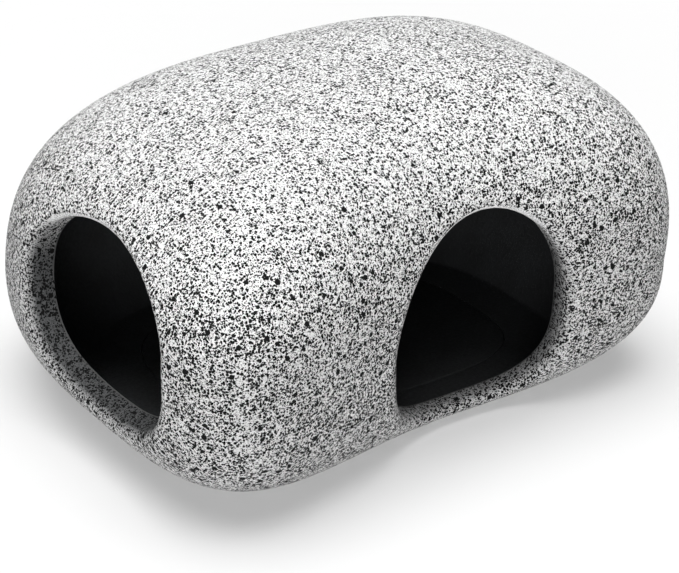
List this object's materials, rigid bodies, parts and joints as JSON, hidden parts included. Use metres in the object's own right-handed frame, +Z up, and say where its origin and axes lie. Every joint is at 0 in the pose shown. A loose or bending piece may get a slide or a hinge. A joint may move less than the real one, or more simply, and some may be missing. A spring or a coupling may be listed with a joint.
{
  "type": "aquarium cave ornament",
  "caption": "Hollow kidney-shaped resin pebble with a granite-look finish and two rounded entrances, a hide for aquarium or pond fish.",
  "frame": {"origin": "on the table, under the middle of the body's bounding box", "axes": "+X along the length, with the side entrance at the -X end; the front entrance looks along -Y; +Z up"},
  "size_m": [0.1786, 0.1498, 0.1],
  "materials": {
    "speckled_resin": "matte",
    "plain_resin": "matte",
    "adhesive": "satin",
    "black_coat": "matte"
  },
  "bodies": {
    "root": {"cave_shell": "speckled_resin", "floor_plate": "plain_resin", "bond_bead": "adhesive", "cavity_lining": "black_coat", "floor_coat": "black_coat"}
  },
  "joints": []
}
